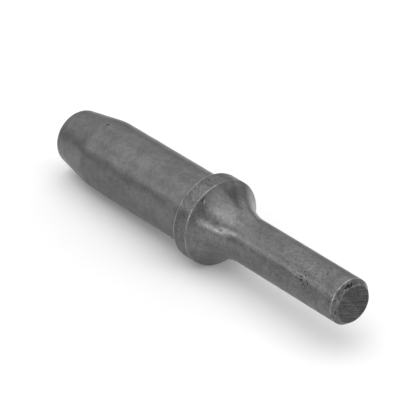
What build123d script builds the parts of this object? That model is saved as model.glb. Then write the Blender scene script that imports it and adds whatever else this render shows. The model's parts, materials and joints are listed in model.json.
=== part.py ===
from build123d import *
import math
import os

# A rivet setter for a pneumatic hammer: one piece of alloy steel, turned from bar.
# From one end to the other it has a shank that slides in the hammer's nozzle, a concave
# neck, a retainer collar, a body, a tapered nose, and a round cup that forms the rivet's head.
#
# Frame: millimetres, +Z up. The origin is the centre of the striking face, which the
# hammer's piston hits. +X points out of that face, so the tool lies along -X.

# Driving dimensions, in millimetres
INCH = 25.4
SHANK_DIAMETER = 0.401 * INCH  # the standard shank of a light pneumatic hammer
STRIKING_FACE_DIAMETER = 8.3
SHANK_CHAMFER_LENGTH = 1.22
SHANK_EDGE_ROUND = 0.12

NECK_RADIUS = 13.0  # concave, tangent to the shank
COLLAR_DISTANCE = 41.0  # from the striking face to the collar's near edge
COLLAR_DIAMETER = 19.45
COLLAR_WIDTH = 4.1
COLLAR_EDGE_BREAK = 0.2
COLLAR_ROOT_ROUND = 0.4  # where the retainer seat meets the body

BODY_DIAMETER = 16.1
BODY_LENGTH = 34.2  # from the retainer seat to the taper
TAPER_LENGTH = 11.5
TAPER_BLEND_RADIUS = 15.0
NOSE_DIAMETER = 12.3  # where the taper would meet the nose face, before rounding
NOSE_ROUND = 1.7

CUP_DIAMETER = 8.2  # for the round head of a 3/16 inch solid rivet
CUP_DEPTH = 2.9
CUP_EDGE_ROUND = 0.12

# Places along the tool, measured from the striking face
SEAT_DISTANCE = COLLAR_DISTANCE + COLLAR_WIDTH
TAPER_DISTANCE = SEAT_DISTANCE + BODY_LENGTH
TOOL_LENGTH = TAPER_DISTANCE + TAPER_LENGTH

# The neck's arc climbs from the shank to the collar's edge break
NECK_TOP_RADIUS = COLLAR_DIAMETER / 2 - COLLAR_EDGE_BREAK
NECK_RISE = NECK_TOP_RADIUS - SHANK_DIAMETER / 2
NECK_ANGLE = math.acos(1 - NECK_RISE / NECK_RADIUS)
NECK_LENGTH = NECK_RADIUS * math.sin(NECK_ANGLE)
NECK_DISTANCE = COLLAR_DISTANCE - NECK_LENGTH

# The cup is part of a sphere
CUP_SPHERE_RADIUS = ((CUP_DIAMETER / 2) ** 2 + CUP_DEPTH**2) / (2 * CUP_DEPTH)


def at(distance, radius):
    """The outline's point at this distance from the striking face and radius from the axis."""
    return (-distance, radius)


def neck_middle():
    """The point halfway along the neck's arc."""
    half = NECK_ANGLE / 2
    along = NECK_DISTANCE + NECK_RADIUS * math.sin(half)
    out = SHANK_DIAMETER / 2 + NECK_RADIUS * (1 - math.cos(half))
    return at(along, out)


def cup_middle():
    """The point halfway along the cup's arc, from its mouth to its bottom."""
    centre_distance = TOOL_LENGTH - CUP_DEPTH + CUP_SPHERE_RADIUS
    half = math.asin(CUP_DIAMETER / 2 / CUP_SPHERE_RADIUS) / 2
    along = centre_distance - CUP_SPHERE_RADIUS * math.cos(half)
    return at(along, CUP_SPHERE_RADIUS * math.sin(half))


def half_outline():
    """The closed outline of one half of the tool, on the axis and above it, with sharp corners."""
    shank = SHANK_DIAMETER / 2
    collar = COLLAR_DIAMETER / 2
    body = BODY_DIAMETER / 2
    with BuildSketch(Plane.XZ) as outline:
        with BuildLine():
            Polyline(
                at(0, 0),
                at(0, STRIKING_FACE_DIAMETER / 2),
                at(SHANK_CHAMFER_LENGTH, shank),
                at(NECK_DISTANCE, shank),
            )
            ThreePointArc(
                at(NECK_DISTANCE, shank),
                neck_middle(),
                at(COLLAR_DISTANCE, NECK_TOP_RADIUS),
            )
            Polyline(
                at(COLLAR_DISTANCE, NECK_TOP_RADIUS),
                at(COLLAR_DISTANCE + COLLAR_EDGE_BREAK, collar),
                at(SEAT_DISTANCE - COLLAR_EDGE_BREAK, collar),
                at(SEAT_DISTANCE, collar - COLLAR_EDGE_BREAK),
                at(SEAT_DISTANCE, body),
                at(TAPER_DISTANCE, body),
                at(TOOL_LENGTH, NOSE_DIAMETER / 2),
                at(TOOL_LENGTH, CUP_DIAMETER / 2),
            )
            ThreePointArc(
                at(TOOL_LENGTH, CUP_DIAMETER / 2),
                cup_middle(),
                at(TOOL_LENGTH - CUP_DEPTH, 0),
            )
            Line(at(TOOL_LENGTH - CUP_DEPTH, 0), at(0, 0))
        make_face()
    return outline.sketch


def rounded(face, distance, radius, round_radius):
    """The outline's face with its corner at this place rounded."""
    x, z = at(distance, radius)
    corner = face.vertices().sort_by_distance((x, 0, z))[0]
    return fillet(corner, round_radius)


def turned_outline():
    """The outline with its rounded corners."""
    face = half_outline()
    body = BODY_DIAMETER / 2
    face = rounded(face, 0, STRIKING_FACE_DIAMETER / 2, SHANK_EDGE_ROUND)
    face = rounded(face, SHANK_CHAMFER_LENGTH, SHANK_DIAMETER / 2, SHANK_EDGE_ROUND)
    face = rounded(face, SEAT_DISTANCE, body, COLLAR_ROOT_ROUND)
    face = rounded(face, TAPER_DISTANCE, body, TAPER_BLEND_RADIUS)
    face = rounded(face, TOOL_LENGTH, NOSE_DIAMETER / 2, NOSE_ROUND)
    face = rounded(face, TOOL_LENGTH, CUP_DIAMETER / 2, CUP_EDGE_ROUND)
    return face


def rivet_setter():
    """The whole tool: its outline turned about its axis."""
    return revolve(turned_outline(), Axis.X, 360)


def main():
    """Writes the tool's STEP file."""
    os.makedirs("parts", exist_ok=True)
    tool = rivet_setter()
    tool.label = "rivet_setter"
    export_step(tool, "parts/rivet_setter.step")
    print("length", round(TOOL_LENGTH, 2), "neck starts at", round(NECK_DISTANCE, 2))
    print("cup sphere radius", round(CUP_SPHERE_RADIUS, 3), "volume", round(tool.volume, 1))


main()
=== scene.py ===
"""A rivet setter for a pneumatic hammer, turned from one bar of tool steel, lying on a pale bench.

The tool's axis is the frame's X axis. Places along it are distances from the striking face,
which is at X = 0, towards the nose, which is at -X. Everything is in metres.
"""

import json
import logging
import math
import random
from abc import ABC, abstractmethod
from dataclasses import dataclass, field
from enum import Enum
from typing import Any, Iterable, NamedTuple, Sequence

import bpy
from mathutils import Matrix, Quaternion, Vector

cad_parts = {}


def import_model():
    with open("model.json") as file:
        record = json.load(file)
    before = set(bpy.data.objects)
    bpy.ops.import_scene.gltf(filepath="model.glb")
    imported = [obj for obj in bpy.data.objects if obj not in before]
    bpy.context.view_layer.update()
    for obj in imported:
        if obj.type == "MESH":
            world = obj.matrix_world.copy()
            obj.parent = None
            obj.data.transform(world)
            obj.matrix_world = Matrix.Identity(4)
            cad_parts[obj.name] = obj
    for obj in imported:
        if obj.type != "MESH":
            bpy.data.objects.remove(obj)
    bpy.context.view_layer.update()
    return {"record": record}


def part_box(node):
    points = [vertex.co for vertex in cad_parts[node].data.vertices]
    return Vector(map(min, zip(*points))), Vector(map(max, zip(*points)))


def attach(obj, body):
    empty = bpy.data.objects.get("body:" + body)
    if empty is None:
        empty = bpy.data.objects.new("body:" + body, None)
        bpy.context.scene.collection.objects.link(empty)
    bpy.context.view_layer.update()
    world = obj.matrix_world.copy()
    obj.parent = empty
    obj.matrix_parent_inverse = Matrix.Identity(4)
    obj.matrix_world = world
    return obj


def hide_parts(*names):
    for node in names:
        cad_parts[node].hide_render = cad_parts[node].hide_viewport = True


Socket = bpy.types.NodeSocket
Triple = tuple[float, float, float]

LOG = logging.getLogger("rivet_setter")
MM = 0.001
CAD_NODE = "rivet_setter"

TURN_STEPS = 256  # faces round the tool
MERGE_GAP = 0.0005 * MM  # points closer than this become one
SMOOTH_ANGLE = math.radians(28)
RUBBED_STRETCH = (14 * MM, 34 * MM)  # where the grain of the rubbed shank fades, from the face
NOISE_LOW, NOISE_HIGH = 0.25, 0.75  # what a noise pattern mostly keeps between

# How many edges each round of the outline has.
LIP_STEPS = 3
EDGE_STEPS = 4
ROOT_STEPS = 6
BLEND_STEPS = 8
NOSE_STEPS = 12
CUP_STEPS = 24

# How wide the pits are.
TINY_PIT = 0.12 * MM
SMALL_PIT = 0.14 * MM
FINE_PIT = 0.16 * MM
PLAIN_PIT = 0.26 * MM
COARSE_PIT = 0.42 * MM


class Station(NamedTuple):
    """A point of the outline: how far along from the striking face, and how far out from the axis."""

    along: float
    out: float

    def towards(self, other: "Station", share: float) -> "Station":
        """The station this share of the way to another one."""
        return Station(
            self.along + share * (other.along - self.along),
            self.out + share * (other.out - self.out),
        )

    def back_from(self, other: "Station", distance: float) -> "Station":
        """The station this far from here on the way to another one."""
        return self.towards(other, distance / self.gap(other))

    def gap(self, other: "Station") -> float:
        """The straight distance to another station."""
        return math.hypot(other.along - self.along, other.out - self.out)

    def at(self, angle: float = 0.0) -> Vector:
        """The place in the frame of this station.

        Args:
            angle: how far round the axis, from +Y towards +Z.

        Returns:
            The point, in the frame's metres.
        """
        return Vector((-self.along, self.out * math.cos(angle), self.out * math.sin(angle)))


def straight(start: Station, end: Station, spacing: float) -> list[Station]:
    """Stations evenly along a straight line.

    Args:
        start: the line's first station.
        end: its last one.
        spacing: the most that two stations are apart.

    Returns:
        The stations, with both ends.
    """
    count = max(1, math.ceil(start.gap(end) / spacing))
    return [start.towards(end, i / count) for i in range(count + 1)]


def arc(centre: Station, radius: float, start: float, end: float, steps: int) -> list[Station]:
    """Stations along a round stretch.

    Args:
        centre: the arc's centre.
        radius: its radius.
        start: the angle of its first station, from the way along to the way out.
        end: the angle of its last station.
        steps: how many edges it has.

    Returns:
        The stations, with both ends.
    """
    angles = [start + (end - start) * i / steps for i in range(steps + 1)]
    return [
        Station(centre.along + radius * math.cos(a), centre.out + radius * math.sin(a))
        for a in angles
    ]


def rounded(
    before: Station, corner: Station, after: Station, radius: float, steps: int
) -> list[Station]:
    """Stations that round a corner between two straight lines.

    Args:
        before: a station on the line into the corner.
        corner: where the two lines meet.
        after: a station on the line out of it.
        radius: the round's radius.
        steps: how many edges it has.

    Returns:
        The stations, from one tangent point to the other.
    """
    back = Vector(before) - Vector(corner)
    ahead = Vector(after) - Vector(corner)
    back.normalize()
    ahead.normalize()
    half = back.angle(ahead) / 2
    centre = Vector(corner) + (back + ahead).normalized() * (radius / math.sin(half))
    first = Vector(corner) + back * (radius / math.tan(half)) - centre
    last = Vector(corner) + ahead * (radius / math.tan(half)) - centre
    start = math.atan2(first.y, first.x)
    turn = (math.atan2(last.y, last.x) - start + math.pi) % (2 * math.pi) - math.pi
    return arc(Station(*centre), radius, start, start + turn, steps)


class Bench:
    """A material's node tree, and short ways to put nodes on it."""

    def __init__(self, name: str) -> None:
        """Starts a material with only its output and its Principled shader.

        Args:
            name: the material's name.
        """
        self.material = bpy.data.materials.new(name)
        self.material.use_nodes = True
        self.tree = self.material.node_tree
        self.tree.nodes.clear()
        self.output = self.tree.nodes.new("ShaderNodeOutputMaterial")
        self.shader = self.tree.nodes.new("ShaderNodeBsdfPrincipled")
        self.link(self.shader.outputs["BSDF"], self.output.inputs["Surface"])
        self.place = self.tree.nodes.new("ShaderNodeTexCoord").outputs["Object"]

    def link(self, source: Socket, target: Socket) -> None:
        """Joins two sockets."""
        self.tree.links.new(source, target)

    def fill(self, node: bpy.types.Node, values: dict[str | int, Any]) -> bpy.types.Node:
        """Sets a node's inputs.

        Args:
            node: the node.
            values: a plain value, or a socket to link, for each input's name or number.

        Returns:
            The same node.
        """
        for key, value in values.items():
            if isinstance(value, Socket):
                self.link(value, node.inputs[key])
            else:
                node.inputs[key].default_value = value
        return node

    def scaled(self, scale: Triple, turn: Triple = (0, 0, 0)) -> Socket:
        """The object's coordinates, turned and then scaled by axis.

        Args:
            scale: how much finer the pattern gets along each axis.
            turn: how far the coordinates are turned first.

        Returns:
            The coordinates' socket.
        """
        turned = self.tree.nodes.new("ShaderNodeMapping")
        self.fill(turned, {"Vector": self.place, "Rotation": turn})
        node = self.tree.nodes.new("ShaderNodeMapping")
        self.fill(node, {"Vector": turned.outputs["Vector"], "Scale": scale})
        return node.outputs["Vector"]

    def noise(self, where: Socket, scale: float, detail: float, rough: float) -> Socket:
        """A soft random pattern from 0 to 1.

        Args:
            where: the coordinates it is read at.
            scale: how fine it is.
            detail: how many finer layers it has.
            rough: how strong those layers are.

        Returns:
            The pattern's socket.
        """
        node = self.tree.nodes.new("ShaderNodeTexNoise")
        self.fill(node, {"Vector": where, "Scale": scale, "Detail": detail, "Roughness": rough})
        return node.outputs["Fac"]

    def maths(self, kind: str, *values: Any) -> Socket:
        """One sum on numbers or sockets.

        Args:
            kind: the Math node's operation.
            values: its numbers or sockets, in order.

        Returns:
            The result's socket.
        """
        node = self.tree.nodes.new("ShaderNodeMath")
        node.operation = kind
        self.fill(node, dict(enumerate(values)))
        return node.outputs[0]

    def spread(
        self, value: Socket, low: float, high: float, to_low: float, to_high: float
    ) -> Socket:
        """A value's range stretched smoothly onto another one, and kept in it.

        Args:
            value: the value.
            low: where its range starts.
            high: where its range ends.
            to_low: what it becomes at the range's start.
            to_high: what it becomes at the range's end.

        Returns:
            The new value's socket.
        """
        node = self.tree.nodes.new("ShaderNodeMapRange")
        node.interpolation_type = "SMOOTHSTEP"
        self.fill(
            node,
            {"Value": value, "From Min": low, "From Max": high, "To Min": to_low, "To Max": to_high},
        )
        return node.outputs["Result"]

    def axis(self, name: str) -> Socket:
        """One of the object's three coordinates.

        Args:
            name: X, Y or Z.

        Returns:
            The coordinate's socket.
        """
        node = self.tree.nodes.new("ShaderNodeSeparateXYZ")
        self.link(self.place, node.inputs[0])
        return node.outputs[name]

    def swing(self, value: Socket, share: Any) -> Socket:
        """A factor that swings about 1 with a noise pattern.

        Args:
            value: the pattern, mostly between NOISE_LOW and NOISE_HIGH.
            share: how far the factor goes from 1, as a number or a socket.

        Returns:
            The factor's socket.
        """
        either_way = self.spread(value, NOISE_LOW, NOISE_HIGH, -1.0, 1.0)
        return self.maths("MULTIPLY_ADD", either_way, share, 1.0)

    def product(self, *values: Socket) -> Socket:
        """Several factors multiplied.

        Args:
            values: the factors.

        Returns:
            The product's socket.
        """
        total = values[0]
        for value in values[1:]:
            total = self.maths("MULTIPLY", total, value)
        return total

    def grey(self, value: Socket) -> Socket:
        """A neutral colour of a brightness.

        Args:
            value: the brightness.

        Returns:
            The colour's socket.
        """
        node = self.tree.nodes.new("ShaderNodeCombineColor")
        self.fill(node, {"Red": value, "Green": value, "Blue": value})
        return node.outputs["Color"]

    def bump(self, height: Socket, depth: float, under: Socket | None = None) -> Socket:
        """A bumped normal.

        Args:
            height: the pattern from 0 to 1.
            depth: how deep the pattern goes, in metres.
            under: the normal of a coarser bump below this one.

        Returns:
            The normal's socket.
        """
        node = self.tree.nodes.new("ShaderNodeBump")
        values: dict[str | int, Any] = {"Strength": 1.0, "Distance": depth, "Height": height}
        if under is not None:
            values["Normal"] = under
        return self.fill(node, values).outputs["Normal"]


@dataclass(frozen=True)
class SteelFinish:
    """Heat-treated tool steel: dark, satin, mottled, with grain and the lathe's fine rings.

    Brightnesses are the share of light that the steel sends back. A swing is the share by which a
    pattern lifts or lowers them. A scale is how many waves a pattern has to the metre.
    """

    name: str = "turned_steel"
    brightness: float = 0.134
    blotch_swing: float = 0.13
    mottle_swing: float = 0.11
    grain_swing: float = 0.14
    rubbed_grain_swing: float = 0.26  # the grain's on the shank, where it runs in the hammer
    fleck_depth: float = 0.2  # how much of the brightness a dark fleck takes away
    fleck_share: float = 0.69  # how high the flecks' pattern has to be for a fleck
    streak_swing: float = 0.02
    roughness: float = 0.40
    roughness_swing: float = 0.05
    ring_depth: float = 0.0008 * MM
    grain_depth: float = 0.0025 * MM
    blotch_scale: float = 170.0
    mottle_scale: float = 620.0
    grain_scale: float = 2100.0
    fleck_scale: float = 1500.0
    fleck_fade: float = 0.1  # how much higher the pattern is where a fleck is at its darkest
    gloss_scale: float = 500.0
    gloss_low: float = 0.3  # where the gloss's pattern is at its least rough
    gloss_high: float = 0.7
    tooth_scale: float = 2600.0  # the grain that is felt
    streak_scale: Triple = (1300.0, 90.0, 90.0)
    ring_scale: Triple = (9000.0, 120.0, 120.0)

    def grain_strength(self, bench: Bench) -> Socket:
        """How strong the grain is from place to place: strongest where the shank is rubbed.

        Args:
            bench: the bench of the material.

        Returns:
            The strength's socket.
        """
        along = bench.maths("MULTIPLY", bench.axis("X"), -1.0)
        near, far = RUBBED_STRETCH
        return bench.spread(along, near, far, self.rubbed_grain_swing, self.grain_swing)

    def brightness_pattern(self, bench: Bench) -> Socket:
        """The steel's brightness from place to place.

        Args:
            bench: the bench of the material.

        Returns:
            The brightness's socket.
        """
        broad = bench.noise(bench.place, self.blotch_scale, detail=2.0, rough=0.5)
        blotches = bench.swing(broad, self.blotch_swing)
        middling = bench.noise(bench.place, self.mottle_scale, detail=2.0, rough=0.6)
        mottle = bench.swing(middling, self.mottle_swing)
        fine = bench.noise(bench.place, self.grain_scale, detail=2.0, rough=0.7)
        grain = bench.swing(fine, self.grain_strength(bench))
        rings = bench.noise(bench.scaled(self.streak_scale), 1.0, detail=2.0, rough=0.5)
        streaks = bench.swing(rings, self.streak_swing)
        specks = bench.noise(bench.place, self.fleck_scale, detail=1.0, rough=0.5)
        darkest = self.fleck_share + self.fleck_fade
        flecks = bench.spread(specks, self.fleck_share, darkest, 1.0, 1.0 - self.fleck_depth)
        product = bench.product(blotches, mottle, grain, streaks, flecks)
        return bench.maths("MULTIPLY", product, self.brightness)

    def surface_normal(self, bench: Bench) -> Socket:
        """The lathe's rings and the grain that is felt, as a bumped normal.

        Args:
            bench: the bench of the material.

        Returns:
            The normal's socket.
        """
        rings = bench.noise(bench.scaled(self.ring_scale), 1.0, detail=1.0, rough=0.5)
        ringed = bench.bump(rings, self.ring_depth)
        tooth = bench.noise(bench.place, self.tooth_scale, detail=2.0, rough=0.6)
        return bench.bump(tooth, self.grain_depth, ringed)

    def material(self) -> bpy.types.Material:
        """The finish as a material.

        Returns:
            The new material.
        """
        bench = Bench(self.name)
        gloss = bench.noise(bench.place, self.gloss_scale, detail=4.0, rough=0.6)
        low = self.roughness - self.roughness_swing
        high = self.roughness + self.roughness_swing
        bench.fill(
            bench.shader,
            {
                "Base Color": bench.grey(self.brightness_pattern(bench)),
                "Metallic": 1.0,
                "Roughness": bench.spread(gloss, self.gloss_low, self.gloss_high, low, high),
                "Normal": self.surface_normal(bench),
            },
        )
        return bench.material


@dataclass(frozen=True)
class RubbedAndHighlightEdgeFinish(SteelFinish):
    """An edge made brighter in patches: partly rubbed bright by handling, partly a painted highlight
    along the edge where it catches the light.
    """

    worn_and_highlight_brightness: float = 0.27
    patch_scale: float = 260.0
    patch_start: float = 0.36  # how high the patches' pattern has to be for any rubbing and painted highlight
    patch_full: float = 0.56

    def brightness_pattern(self, bench: Bench) -> Socket:
        """Bright rubbed steel with a painted highlight, fading into the dark steel in patches.

        Args:
            bench: the bench of the material.

        Returns:
            The brightness's socket.
        """
        patches = bench.noise(bench.place, self.patch_scale, detail=3.0, rough=0.6)
        # the edge's brighter colour is partly wear and partly a painted highlight
        worn = self.worn_and_highlight_brightness / self.brightness
        rubbed = bench.spread(patches, self.patch_start, self.patch_full, 1.0, worn)
        return bench.product(super().brightness_pattern(bench), rubbed)


@dataclass(frozen=True)
class FacedFinish(SteelFinish):
    """The struck end as facing off left it: rough, with fine lines straight across; its zone below makes
    it dark, partly as painted shade.
    """

    line_turn: float = math.radians(20)
    line_scale: float = 4200.0  # across the lines
    line_run_scale: float = 160.0  # along them
    line_depth: float = 0.010 * MM
    line_swing: float = 0.40

    def lines(self, bench: Bench) -> Socket:
        """The pattern of the lines across the face.

        Args:
            bench: the bench of the material.

        Returns:
            The pattern's socket.
        """
        scale = (1.0, self.line_run_scale, self.line_scale)
        across = bench.scaled(scale, turn=(self.line_turn, 0, 0))
        return bench.noise(across, 1.0, detail=2.0, rough=0.5)

    def brightness_pattern(self, bench: Bench) -> Socket:
        """The steel's brightness, lined straight across."""
        lined = bench.swing(self.lines(bench), self.line_swing)
        return bench.product(super().brightness_pattern(bench), lined)

    def surface_normal(self, bench: Bench) -> Socket:
        """The lines, over the grain that all the steel has."""
        return bench.bump(self.lines(bench), self.line_depth, super().surface_normal(bench))


class Zone(Enum):
    """The finishes of the tool's zones."""

    TURNED = SteelFinish()
    NECK = SteelFinish(name="neck_steel", brightness=0.144, roughness=0.32, grain_swing=0.20)
    RIM = SteelFinish(
        name="rim_steel", brightness=0.117, mottle_swing=0.14, grain_swing=0.32, fleck_share=0.6
    )
    CHAMFER = SteelFinish(
        name="chamfer_steel",
        brightness=0.127,
        mottle_swing=0.20,
        rubbed_grain_swing=0.46,
        fleck_share=0.62,
        fleck_depth=0.4,
        grain_depth=0.012 * MM,
    )
    # The edges' brighter steel is partly rubbed wear and partly a painted highlight.
    WORN_AND_HIGHLIGHT_EDGE = RubbedAndHighlightEdgeFinish(name="worn_and_highlight_edge", roughness=0.30, worn_and_highlight_brightness=0.24)
    SHOULDER_EDGE = RubbedAndHighlightEdgeFinish(
        name="shoulder_edge",
        roughness=0.34,
        worn_and_highlight_brightness=0.29,
        patch_scale=330.0,
        patch_start=0.33,
        patch_full=0.47,
    )
    FACE_EDGE = RubbedAndHighlightEdgeFinish(
        name="face_edge", roughness=0.36, worn_and_highlight_brightness=0.14, patch_scale=420.0, patch_start=0.34
    )
    # The end face's low brightness is partly its rough faced finish and partly painted shade, for the
    # face turns away from the main lamps.
    FACED = FacedFinish(
        name="faced_end",
        brightness=0.060,
        mottle_swing=0.17,
        rubbed_grain_swing=0.40,
        fleck_share=0.6,
        roughness=0.45,
    )
    PITTED = SteelFinish(name="pitted_steel", brightness=0.031, roughness=0.6)


def deselect_all() -> None:
    """Leaves nothing selected, so that an operator acts only on what is chosen next."""
    if bpy.context.object is not None and bpy.context.object.mode != "OBJECT":
        bpy.ops.object.mode_set(mode="OBJECT")
    bpy.ops.object.select_all(action="DESELECT")


def choose(piece: bpy.types.Object) -> None:
    """Makes a piece the active one and the only one selected.

    Args:
        piece: the piece.
    """
    deselect_all()
    piece.select_set(True)
    bpy.context.view_layer.objects.active = piece


class Stretch(ABC):
    """A stretch of the tool along its axis, turned from its own outline."""

    @abstractmethod
    def outline(self) -> list[tuple[Zone, list[Station]]]:
        """The stretch's outline, as runs of stations with the finish of each run."""

    def turned(self) -> list[bpy.types.Object]:
        """The stretch's surface, one mesh for each run of its outline."""
        return [turn(stations, zone) for zone, stations in self.outline()]


def turn(stations: Sequence[Station], zone: Zone) -> bpy.types.Object:
    """Turns a run of the outline round the tool's axis, as on a lathe.

    Args:
        stations: the run, from the striking face's side to the nose's.
        zone: the finish of its surface.

    Returns:
        The open surface, still without a wall's other side.
    """
    deselect_all()
    bpy.ops.mesh.primitive_plane_add(size=MM, location=stations[0].at())
    piece = bpy.context.object
    bpy.ops.object.transform_apply(location=True, rotation=False, scale=False)
    bpy.ops.object.mode_set(mode="EDIT")
    bpy.ops.mesh.merge(type="CENTER")
    for here, following in zip(stations, stations[1:]):
        step = following.at() - here.at()
        bpy.ops.mesh.extrude_region_move(TRANSFORM_OT_translate={"value": step})
    bpy.ops.mesh.select_all(action="SELECT")
    bpy.ops.mesh.spin(
        steps=TURN_STEPS, angle=2 * math.pi, center=(0, 0, 0), axis=(1, 0, 0), dupli=False
    )
    bpy.ops.mesh.select_all(action="SELECT")
    bpy.ops.mesh.remove_doubles(threshold=MERGE_GAP)
    bpy.ops.object.mode_set(mode="OBJECT")
    piece.data.materials.clear()
    piece.data.materials.append(finish_material(zone))
    return piece


def finish_material(zone: Zone) -> bpy.types.Material:
    """The material of a zone, made the first time it is asked for."""
    made = bpy.data.materials.get(zone.value.name)
    return made if made is not None else zone.value.material()


@dataclass
class Shank(Stretch):
    """The straight round end that slides in the hammer's nozzle, with its faced and chamfered tip."""

    radius: float
    neck_start: float
    face_radius: float = 4.15 * MM
    chamfer_length: float = 1.22 * MM
    edge_round: float = 0.12 * MM
    # how wide the band of brighter steel is, partly wear and partly painted highlight
    worn_and_highlight_width: float = 0.1 * MM
    spacing: float = 0.4 * MM

    def outline(self) -> list[tuple[Zone, list[Station]]]:
        """The faced end, its edge, the chamfer, the chamfer's edge, brightened partly by wear and partly
        as a painted highlight, and the straight shank.

        Returns:
            The runs, from the striking face on.
        """
        centre = Station(0, 0)
        face_edge = Station(0, self.face_radius)
        shoulder = Station(self.chamfer_length, self.radius)
        end = Station(self.neck_start, self.radius)
        first = rounded(centre, face_edge, shoulder, self.edge_round, EDGE_STEPS)
        second = rounded(face_edge, shoulder, end, self.edge_round, EDGE_STEPS)
        worn_and_highlight_start = second[0].back_from(first[-1], self.worn_and_highlight_width)
        worn_and_highlight_end = second[-1].back_from(end, self.worn_and_highlight_width)
        return [
            (Zone.FACED, straight(centre, first[0], self.spacing)),
            (Zone.FACE_EDGE, first),
            (Zone.CHAMFER, straight(first[-1], worn_and_highlight_start, self.spacing / 2)),
            (Zone.SHOULDER_EDGE, [worn_and_highlight_start, *second, worn_and_highlight_end]),
            (Zone.TURNED, straight(worn_and_highlight_end, end, self.spacing)),
        ]


@dataclass
class Neck(Stretch):
    """The concave flare from the shank up to the collar's edge."""

    shank_radius: float
    top_radius: float
    collar_start: float
    radius: float = 13.0 * MM
    steps: int = 40

    @property
    def angle(self) -> float:
        """How far the flare's arc turns."""
        return math.acos(1 - (self.top_radius - self.shank_radius) / self.radius)

    @property
    def start(self) -> float:
        """Where the flare leaves the shank."""
        return self.collar_start - self.radius * math.sin(self.angle)

    def outline(self) -> list[tuple[Zone, list[Station]]]:
        """The flare's one arc.

        Returns:
            The one run.
        """
        centre = Station(self.start, self.shank_radius + self.radius)
        down = -math.pi / 2
        return [(Zone.NECK, arc(centre, self.radius, down, down + self.angle, self.steps))]


@dataclass
class Collar(Stretch):
    """The ring that the hammer's retainer spring holds, with its seat on the nose's side."""

    radius: float
    seat: float
    body_radius: float
    width: float = 4.1 * MM
    steps: int = 8  # edges along the rim
    edge_break: float = 0.2 * MM
    edge_round: float = 0.1 * MM
    far_edge_round: float = 0.25 * MM
    # how wide the band of brighter steel is, partly wear and partly painted highlight
    worn_and_highlight_width: float = 0.12 * MM
    root_round: float = 0.4 * MM

    @property
    def start(self) -> float:
        """Where the collar's near edge is."""
        return self.seat - self.width

    @property
    def lip_radius(self) -> float:
        """How far out the collar's edge break starts."""
        return self.radius - self.edge_break

    def outline(self) -> list[tuple[Zone, list[Station]]]:
        """The near edge break, the rim, the far edge break, the seat and its root.

        Returns:
            The runs, from the neck on.
        """
        near_low = Station(self.start, self.lip_radius)
        near_high = Station(self.start + self.edge_break, self.radius)
        far_high = Station(self.seat - self.edge_break, self.radius)
        far_low = Station(self.seat, self.lip_radius)
        root = Station(self.seat, self.body_radius)
        along_body = Station(self.seat + 10 * self.root_round, self.body_radius)
        near = rounded(near_low, near_high, far_high, self.edge_round, LIP_STEPS)
        far = rounded(near_high, far_high, far_low, self.far_edge_round, EDGE_STEPS)
        lip = rounded(far_high, far_low, root, self.edge_round, LIP_STEPS)
        worn_and_highlight_start = far[0].back_from(near[-1], self.worn_and_highlight_width)
        foot = rounded(far_low, root, along_body, self.root_round, ROOT_STEPS)
        return [
            (Zone.WORN_AND_HIGHLIGHT_EDGE, [near_low, *near]),
            (Zone.RIM, straight(near[-1], worn_and_highlight_start, self.width / self.steps)),
            (Zone.WORN_AND_HIGHLIGHT_EDGE, [worn_and_highlight_start, *far, *lip]),
            (Zone.TURNED, [*straight(lip[-1], foot[0], self.width / self.steps), *foot[1:]]),
        ]


@dataclass
class Body(Stretch):
    """The thick round part between the collar and the taper."""

    radius: float
    start: float
    end: float
    spacing: float = 0.4 * MM

    def outline(self) -> list[tuple[Zone, list[Station]]]:
        """The straight body.

        Returns:
            The one run.
        """
        first = Station(self.start, self.radius)
        last = Station(self.end, self.radius)
        return [(Zone.TURNED, straight(first, last, self.spacing))]


@dataclass
class Nose(Stretch):
    """The tapered working end, with the cup that shapes the rivet's head."""

    body_radius: float
    end: float
    taper_length: float = 11.5 * MM
    blend_radius: float = 15.0 * MM
    face_radius: float = 6.15 * MM
    nose_round: float = 1.7 * MM
    cup_radius: float = 4.1 * MM
    cup_depth: float = 2.9 * MM
    cup_edge_round: float = 0.12 * MM
    spacing: float = 0.4 * MM

    @property
    def taper_start(self) -> float:
        """Where the body would meet the taper with no blend."""
        return self.end - self.taper_length

    @property
    def blend_length(self) -> float:
        """How far the blend reaches along the body from where the taper would start."""
        slope = math.atan2(self.body_radius - self.face_radius, self.taper_length)
        return self.blend_radius * math.tan(slope / 2)

    @property
    def start(self) -> float:
        """Where the blend leaves the body."""
        return self.taper_start - self.blend_length

    @property
    def cup_sphere(self) -> float:
        """The radius of the sphere that the cup is part of."""
        return (self.cup_radius**2 + self.cup_depth**2) / (2 * self.cup_depth)

    def outline(self) -> list[tuple[Zone, list[Station]]]:
        """The blend, the taper, the nose's round, its narrow rim and the cup.

        Returns:
            The runs, from the body on.
        """
        body = Station(self.taper_start - 2 * self.blend_length, self.body_radius)
        shoulder = Station(self.taper_start, self.body_radius)
        corner = Station(self.end, self.face_radius)
        mouth = Station(self.end, self.cup_radius)
        blend = rounded(body, shoulder, corner, self.blend_radius, BLEND_STEPS)
        tip = rounded(shoulder, corner, mouth, self.nose_round, NOSE_STEPS)
        half_angle = math.asin(self.cup_radius / self.cup_sphere)
        wall = Vector((-math.sin(half_angle), -math.cos(half_angle))) * self.cup_radius
        inside = Station(mouth.along + wall.x, mouth.out + wall.y)
        edge = rounded(corner, mouth, inside, self.cup_edge_round, EDGE_STEPS)
        centre = Station(self.end - self.cup_depth + self.cup_sphere, 0)
        edge_end = math.atan2(edge[-1].out, edge[-1].along - centre.along)
        cup = arc(centre, self.cup_sphere, edge_end, math.pi, CUP_STEPS)
        return [
            (Zone.TURNED, [*blend, *straight(blend[-1], tip[0], self.spacing)[1:], *tip[1:]]),
            (Zone.TURNED, straight(tip[-1], edge[0], self.spacing)),
            # the cup's edge is brighter steel too, partly wear and partly painted highlight
            (Zone.WORN_AND_HIGHLIGHT_EDGE, edge),
            (Zone.TURNED, [edge[-1], *cup[1:]]),
        ]


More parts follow.
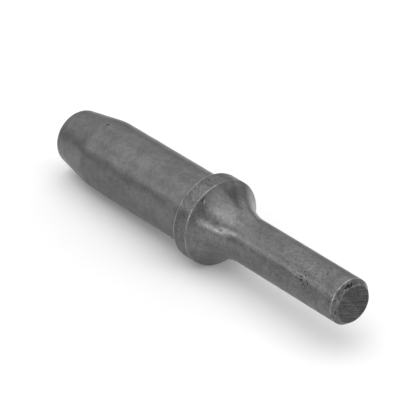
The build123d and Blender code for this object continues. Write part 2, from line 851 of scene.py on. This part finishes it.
@dataclass(frozen=True)
class Dent:
    """A small hollow that rust or a knock has left in the steel.

    Its angle is how far round it is, and its turn how far its length is turned from the way along
    the tool, both in degrees.
    """

    along: float
    out: float
    angle: float
    width: float
    depth: float
    length: float
    turn: float = 0.0
    zone: Zone = Zone.PITTED
    raggedness: float = 0.1
    lump_height: float = 1.6  # half the cutting lump's height, in depths

    def cutter(self, tool: bpy.types.Object, seed: int) -> bpy.types.Object:
        """The lump that cuts this dent.

        Args:
            tool: the piece that it cuts.
            seed: what the lump's raggedness is drawn with.

        Returns:
            A ragged ball, flattened onto the surface, with only its lowest part in the steel.
        """
        near = Station(self.along, self.out).at(math.radians(self.angle))
        _, place, normal, _ = tool.closest_point_on_mesh(near)
        lengthways = Vector((0, 1, 0)) if abs(normal.x) > 0.9 else Vector((1, 0, 0))
        side = (lengthways - normal * lengthways.dot(normal)).normalized()
        side.rotate(Quaternion(normal, math.radians(self.turn)))
        axes = Matrix((side, normal.cross(side), normal)).transposed()
        height = self.depth * self.lump_height
        deselect_all()
        bpy.ops.mesh.primitive_ico_sphere_add(
            subdivisions=2,
            radius=1,
            location=place + normal * (height - self.depth),
            rotation=axes.to_euler(),
            scale=(self.length / 2, self.width / 2, height),
        )
        lump = bpy.context.object
        bpy.ops.object.transform_apply()
        bpy.ops.object.mode_set(mode="EDIT")
        ragged = self.raggedness * min(self.depth, self.width)
        bpy.ops.transform.vertex_random(offset=ragged, uniform=0.3, normal=0.7, seed=seed)
        bpy.ops.object.mode_set(mode="OBJECT")
        lump.data.materials.append(finish_material(self.zone))
        return lump


@dataclass(frozen=True)
class PitPatch:
    """A patch of pits of uneven sizes, thickest in its middle."""

    along: float
    out: float
    angle: float
    along_spread: float
    angle_spread: float
    count: int
    smallest: float
    largest: float
    seed: int
    zone: Zone = Zone.PITTED

    def dents(self) -> list[Dent]:
        """The patch's pits, the same ones every time.

        Returns:
            The pits, in the order that they are drawn.
        """
        draw = random.Random(self.seed)
        pits = []
        for _ in range(self.count):
            width = draw.uniform(self.smallest, self.largest)
            pits.append(
                Dent(
                    along=self.along + draw.gauss(0, self.along_spread),
                    out=self.out,
                    angle=self.angle + draw.gauss(0, self.angle_spread),
                    width=width,
                    depth=width * draw.uniform(0.25, 0.4),
                    length=width * draw.uniform(1.0, 1.6),
                    turn=draw.uniform(0, 180),
                    zone=self.zone,
                )
            )
        return pits


@dataclass
class Wear:
    """The pits and nicks that heat treatment, rust and use have left on the tool."""

    shank_radius: float
    collar_start: float
    lip_radius: float
    body_radius: float
    taper_start: float

    def knocks(self) -> list[Dent]:
        """The single marks: a nick by the collar, dark as its painted shadow, with a bright dent beside
        it as its painted highlight, a dint in the neck, a bruise on the taper.

        Returns:
            The marks, in that order.
        """
        # The nick is cut in the pits' dark steel, which here is a painted shadow.
        nick = Dent(
            along=self.collar_start - 0.33 * MM,
            out=self.lip_radius - 0.32 * MM,
            angle=124.3,
            width=0.20 * MM,
            depth=0.09 * MM,
            length=1.2 * MM,
            turn=110,
        )
        # A painted highlight: a shallow dent of bright edge steel beside the nick, standing for its lit
        # wall.
        nick_highlight = Dent(
            along=self.collar_start - 0.62 * MM,
            out=self.lip_radius - 0.62 * MM,
            angle=124.6,
            width=0.26 * MM,
            depth=0.06 * MM,
            length=1.1 * MM,
            turn=110,
            zone=Zone.SHOULDER_EDGE,
        )
        dint = Dent(
            along=self.collar_start - 5.7 * MM,
            out=self.shank_radius + 0.65 * MM,
            angle=151,
            width=0.8 * MM,
            depth=0.05 * MM,
            length=0.8 * MM,
            zone=Zone.TURNED,
        )
        bruise = Dent(
            along=self.taper_start - 0.9 * MM,
            out=self.body_radius,
            angle=96,
            width=0.7 * MM,
            depth=0.04 * MM,
            length=1.0 * MM,
            turn=60,
            zone=Zone.FACED,
        )
        return [nick, nick_highlight, dint, bruise]

    def chamfer_patches(self) -> list[PitPatch]:
        """The pitted patches of the chamfer.

        Returns:
            The pits on top, the bright specks among them, and the pits underneath.
        """
        radius = self.shank_radius - 0.5 * MM
        pits = PitPatch(
            along=0.52 * MM,
            out=radius,
            angle=101,
            along_spread=0.3 * MM,
            angle_spread=7,
            count=22,
            smallest=0.20 * MM,
            largest=COARSE_PIT,
            seed=14,
        )
        # the specks are dents of the shoulder edge's brighter steel, partly a painted highlight
        specks = PitPatch(
            along=0.5 * MM,
            out=radius,
            angle=103,
            along_spread=0.2 * MM,
            angle_spread=5,
            count=8,
            smallest=0.2 * MM,
            largest=PLAIN_PIT,
            seed=21,
            zone=Zone.SHOULDER_EDGE,
        )
        under_pits = PitPatch(
            along=0.6 * MM,
            out=radius,
            angle=300,
            along_spread=0.2 * MM,
            angle_spread=40,
            count=6,
            smallest=TINY_PIT,
            largest=FINE_PIT,
            seed=8,
        )
        return [pits, specks, under_pits]

    def shank_patches(self) -> list[PitPatch]:
        """The pitted patches of the shank.

        Returns:
            The low patch, the one above it, the one by the chamfer, and the one underneath.
        """
        low = PitPatch(
            along=10.2 * MM,
            out=self.shank_radius,
            angle=150,
            along_spread=1.0 * MM,
            angle_spread=8,
            count=8,
            smallest=0.22 * MM,
            largest=COARSE_PIT,
            seed=3,
        )
        upper = PitPatch(
            along=9.0 * MM,
            out=self.shank_radius,
            angle=122,
            along_spread=1.6 * MM,
            angle_spread=14,
            count=9,
            smallest=FINE_PIT,
            largest=0.30 * MM,
            seed=4,
        )
        end = PitPatch(
            along=2.0 * MM,
            out=self.shank_radius,
            angle=148,
            along_spread=0.5 * MM,
            angle_spread=8,
            count=4,
            smallest=FINE_PIT,
            largest=PLAIN_PIT,
            seed=6,
        )
        under = PitPatch(
            along=16.0 * MM,
            out=self.shank_radius,
            angle=300,
            along_spread=8.0 * MM,
            angle_spread=60,
            count=10,
            smallest=FINE_PIT,
            largest=PLAIN_PIT,
            seed=9,
        )
        return [low, upper, end, under]

    def rim_patches(self) -> list[PitPatch]:
        """The pitted patches of the collar's rim.

        Returns:
            The patch on top, and the wide one underneath.
        """
        middle = self.collar_start + 2.2 * MM
        radius = self.lip_radius + 0.2 * MM
        top = PitPatch(
            along=middle,
            out=radius,
            angle=100,
            along_spread=0.7 * MM,
            angle_spread=14,
            count=9,
            smallest=SMALL_PIT,
            largest=0.3 * MM,
            seed=2,
        )
        under = PitPatch(
            along=middle,
            out=radius,
            angle=280,
            along_spread=0.8 * MM,
            angle_spread=80,
            count=10,
            smallest=SMALL_PIT,
            largest=0.28 * MM,
            seed=11,
        )
        return [top, under]

    @staticmethod
    def rounds(lumps: Sequence[bpy.types.Object]) -> list[list[bpy.types.Object]]:
        """The lumps in as few rounds as it takes for no two of a round to touch.

        Args:
            lumps: the lumps that cut the dents.

        Returns:
            The rounds.
        """
        placed: list[list[tuple[bpy.types.Object, Vector, float]]] = []
        for lump in lumps:
            corners = [vertex.co for vertex in lump.data.vertices]
            middle = sum(corners, Vector()) / len(corners)
            reach = max((corner - middle).length for corner in corners)
            free = (
                group for group in placed
                if all((middle - other).length > reach + far for _, other, far in group)
            )
            group = next(free, None)
            if group is None:
                group = []
                placed.append(group)
            group.append((lump, middle, reach))
        return [[lump for lump, _, _ in group] for group in placed]

    @staticmethod
    def cut(tool: bpy.types.Object, lumps: Sequence[bpy.types.Object]) -> None:
        """Cuts lumps that don't touch each other out of the tool, and removes them.

        Args:
            tool: the piece to cut.
            lumps: the lumps.
        """
        deselect_all()
        for lump in lumps:
            lump.select_set(True)
        bpy.context.view_layer.objects.active = lumps[0]
        bpy.ops.object.join()
        cutters = bpy.context.object
        choose(tool)
        bpy.ops.object.modifier_add(type="BOOLEAN")
        cut = tool.modifiers[-1]
        cut.operation = "DIFFERENCE"
        cut.solver = "EXACT"
        cut.material_mode = "TRANSFER"
        cut.object = cutters
        bpy.ops.object.modifier_apply(modifier=cut.name)
        choose(cutters)
        bpy.ops.object.delete()

    def cut_into(self, tool: bpy.types.Object) -> int:
        """Cuts every dent into the tool.

        Args:
            tool: the closed piece of steel.

        Returns:
            How many dents there are.
        """
        dents = self.knocks()
        for patch in [*self.chamfer_patches(), *self.shank_patches(), *self.rim_patches()]:
            dents.extend(patch.dents())
        lumps = [dent.cutter(tool, seed) for seed, dent in enumerate(dents)]
        for together in self.rounds(lumps):
            self.cut(tool, together)
        return len(dents)


@dataclass
class Scale:
    """The slight unevenness that heat treatment leaves all over."""

    wave: float = 1.6 * MM
    depth: float = 0.016 * MM

    def roughen(self, tool: bpy.types.Object) -> None:
        """Presses the unevenness into the tool's surface, inwards only.

        Args:
            tool: the closed piece of steel.
        """
        waves = bpy.data.textures.new("scale_waves", "CLOUDS")
        waves.noise_scale = self.wave
        waves.noise_depth = 2
        choose(tool)
        bpy.ops.object.modifier_add(type="DISPLACE")
        press = tool.modifiers[-1]
        press.texture = waves
        press.texture_coords = "LOCAL"
        press.strength = self.depth
        press.mid_level = 1.0
        bpy.ops.object.modifier_apply(modifier=press.name)


@dataclass
class RivetSetter:
    """The whole tool, one piece of steel, made of its stretches in order."""

    record: dict[str, Any]
    low: Vector
    high: Vector
    body_radius: float = 8.05 * MM
    stretches: list[Stretch] = field(default_factory=list)

    def mount(self, name: str) -> dict[str, Any]:
        """The record's mount of this name."""
        return next(m for m in self.record["mounts"] if m["name"] == name)

    def lay_out(self) -> None:
        """Sizes each stretch from the frame, and puts them in order."""
        shank_radius = self.mount("shank")["dims"]["r_mm"] * MM
        seat = -self.mount("retainer_seat")["pos_m"][0]
        collar = Collar(radius=self.high.z, seat=seat, body_radius=self.body_radius)
        neck = Neck(
            shank_radius=shank_radius, top_radius=collar.lip_radius, collar_start=collar.start
        )
        nose = Nose(body_radius=self.body_radius, end=-self.low.x)
        body = Body(radius=self.body_radius, start=seat + collar.root_round, end=nose.start)
        shank = Shank(radius=shank_radius, neck_start=neck.start)
        self.stretches = [shank, neck, collar, body, nose]

    def wear(self) -> Wear:
        """The marks of use, placed by the stretches' sizes.

        Returns:
            The marks, ready to be cut.
        """
        _, neck, collar, body, nose = self.stretches
        return Wear(
            shank_radius=neck.shank_radius,
            collar_start=collar.start,
            lip_radius=collar.lip_radius,
            body_radius=body.radius,
            taper_start=nose.taper_start,
        )

    def build(self) -> bpy.types.Object:
        """Turns every stretch and joins them into one closed piece.

        Returns:
            The finished piece, at the origin, riding on the frame's one body.
        """
        self.lay_out()
        pieces = [piece for stretch in self.stretches for piece in stretch.turned()]
        deselect_all()
        for piece in pieces:
            piece.select_set(True)
        bpy.context.view_layer.objects.active = pieces[0]
        bpy.ops.object.join()
        tool = bpy.context.object
        tool.name = "rivet_setter_steel"
        tool.data.name = tool.name
        bpy.ops.object.mode_set(mode="EDIT")
        bpy.ops.mesh.select_all(action="SELECT")
        bpy.ops.mesh.remove_doubles(threshold=MERGE_GAP)
        bpy.ops.mesh.normals_make_consistent(inside=False)
        bpy.ops.object.mode_set(mode="OBJECT")
        Scale().roughen(tool)
        LOG.info("%s: %d dents", tool.name, self.wear().cut_into(tool))
        choose(tool)
        bpy.ops.object.shade_smooth_by_angle(angle=SMOOTH_ANGLE)
        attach(tool, "root")
        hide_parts(CAD_NODE)
        return tool


@dataclass(frozen=True)
class Lamp:
    """A soft panel of light that faces the tool.

    The azimuth is 0 towards -Y and 90 towards +X, in degrees, like a view's. The brightness is that
    of the panel's surface, whatever its size.
    """

    name: str
    azimuth: float
    elevation: float
    distance: float
    width: float
    height: float
    brightness: float

    def hang(self, middle: Vector) -> bpy.types.Object:
        """Puts the panel in its place.

        Args:
            middle: the point that it faces.

        Returns:
            The lamp, which the camera itself doesn't see.
        """
        away = direction(self.azimuth, self.elevation)
        deselect_all()
        bpy.ops.object.light_add(type="AREA", location=middle + away * self.distance)
        lamp = bpy.context.object
        lamp.name = self.name
        lamp.rotation_euler = away.to_track_quat("Z", "Y").to_euler()
        lamp.data.shape = "RECTANGLE"
        lamp.data.size = self.width
        lamp.data.size_y = self.height
        lamp.data.energy = self.brightness * math.pi * self.width * self.height
        lamp.visible_camera = False
        return lamp


# Each lamp's name, azimuth, elevation, distance, width, height and brightness.
LAMPS = (
    Lamp("overhead", 84, 78, 1.0, 1.38, 1.26, 1.05),
    Lamp("zenith_box", 190, 79, 1.0, 0.45, 0.36, 0.55),
    Lamp("front_high", 333, 64, 1.0, 1.26, 0.65, 0.85),
    Lamp("back_wall", 249, 39, 1.2, 3.30, 0.91, 0.86),
    Lamp("front_left_strip", 335, 26, 1.0, 0.66, 0.12, 6.6),
    Lamp("front_low_strip", 10, 12.5, 1.0, 0.99, 0.115, 7.1),
    Lamp("camera_side", 54, 15, 1.1, 0.80, 0.36, 0.45),
    Lamp("far_side", 186, 14, 1.1, 0.70, 0.36, 0.45),
    Lamp("right_edge", 134, 9, 1.0, 0.77, 0.30, 9.6),
)


def direction(azimuth: float, elevation: float) -> Vector:
    """The way out from the tool at an azimuth and elevation in degrees, like a view's.

    Args:
        azimuth: 0 towards -Y and 90 towards +X.
        elevation: how far above level.

    Returns:
        The way, one metre long.
    """
    across, up = math.radians(azimuth), math.radians(elevation)
    flat = math.cos(up)
    return Vector((math.sin(across) * flat, -math.cos(across) * flat, math.sin(up)))


@dataclass
class Studio:
    """The pale bench top, the soft light and the camera."""

    low: Vector
    high: Vector
    body_radius: float
    taper_start: float
    collar_foot: float
    floor_size: float = 0.6
    floor_brightness: float = 0.82
    low_ambient: float = 0.08  # how bright the room is at the bench's height
    high_ambient: float = 0.44  # and from some way up
    ambient_rise: float = 0.35  # the sine of how far up that is
    wall_brightness: float = 1.0  # what the camera sees past the bench
    camera_azimuth: float = 50.535
    camera_elevation: float = 30.111
    camera_distance: float = 559.2 * MM
    camera_aim_mm: Triple = (-43.973, -1.150, 2.756)
    camera_lens: float = 232.19  # both in millimetres, as the camera takes them
    camera_sensor: float = 36.0

    def floor(self) -> bpy.types.Object:
        """The bench top, touching the tool where it rests: on its collar and where its taper starts.

        Returns:
            The bench top.
        """
        rise = self.high.z - self.body_radius
        tilt = math.atan2(rise, self.taper_start - self.collar_foot)
        deselect_all()
        bpy.ops.mesh.primitive_plane_add(size=self.floor_size)
        floor = bpy.context.object
        floor.name = "bench_top"
        foot = Matrix.Translation((-self.collar_foot, 0, -self.high.z))
        floor.matrix_world = foot @ Matrix.Rotation(tilt, 4, "Y")
        bench = Bench("bench_white")
        white = (self.floor_brightness, self.floor_brightness, self.floor_brightness, 1)
        bench.fill(bench.shader, {"Base Color": white, "Roughness": 0.9, "Specular IOR Level": 0.1})
        floor.data.materials.append(bench.material)
        return floor

    def world(self) -> None:
        """A dim room that the steel reflects, with a pale wall where the camera looks past the bench."""
        world = bpy.data.worlds.new("studio")
        bpy.context.scene.world = world
        world.use_nodes = True
        nodes = world.node_tree.nodes
        background = nodes["Background"]
        links = world.node_tree.links
        way = nodes.new("ShaderNodeTexCoord")
        parts = nodes.new("ShaderNodeSeparateXYZ")
        links.new(way.outputs["Generated"], parts.inputs[0])
        room = nodes.new("ShaderNodeMapRange")
        room.inputs["From Max"].default_value = self.ambient_rise
        room.inputs["To Min"].default_value = self.low_ambient
        room.inputs["To Max"].default_value = self.high_ambient
        links.new(parts.outputs["Z"], room.inputs["Value"])
        path = nodes.new("ShaderNodeLightPath")
        strength = nodes.new("ShaderNodeMapRange")
        strength.inputs["To Max"].default_value = self.wall_brightness
        links.new(path.outputs["Is Camera Ray"], strength.inputs["Value"])
        links.new(room.outputs["Result"], strength.inputs["To Min"])
        links.new(strength.outputs["Result"], background.inputs["Strength"])
        background.inputs["Color"].default_value = (1, 1, 1, 1)

    def light(self) -> None:
        """Hangs every lamp."""
        for lamp in LAMPS:
            lamp.hang((self.low + self.high) / 2)

    def camera(self) -> bpy.types.Object:
        """The camera, above the striking face and to one side of it.

        Returns:
            The scene's camera.
        """
        back = direction(self.camera_azimuth, self.camera_elevation)
        aim = Vector(self.camera_aim_mm) * MM
        deselect_all()
        bpy.ops.object.camera_add(location=aim + back * self.camera_distance)
        camera = bpy.context.object
        camera.rotation_euler = back.to_track_quat("Z", "Y").to_euler()
        camera.data.lens = self.camera_lens
        camera.data.sensor_width = self.camera_sensor
        bpy.context.scene.camera = camera
        return camera


def main() -> None:
    """Builds the tool around the frame, then the studio."""
    logging.basicConfig(level=logging.INFO, format="%(message)s")
    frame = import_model()
    low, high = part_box(CAD_NODE)
    tool = RivetSetter(frame["record"], low, high)
    piece = tool.build()
    LOG.info("%s: %d faces", piece.name, len(piece.data.polygons))
    nose = tool.stretches[-1]
    collar = tool.stretches[2]
    studio = Studio(low, high, tool.body_radius, nose.taper_start, collar.seat)
    studio.floor()
    studio.world()
    studio.light()
    studio.camera()
    bpy.context.scene.view_settings.view_transform = "Standard"


if __name__ == "__main__":
    main()
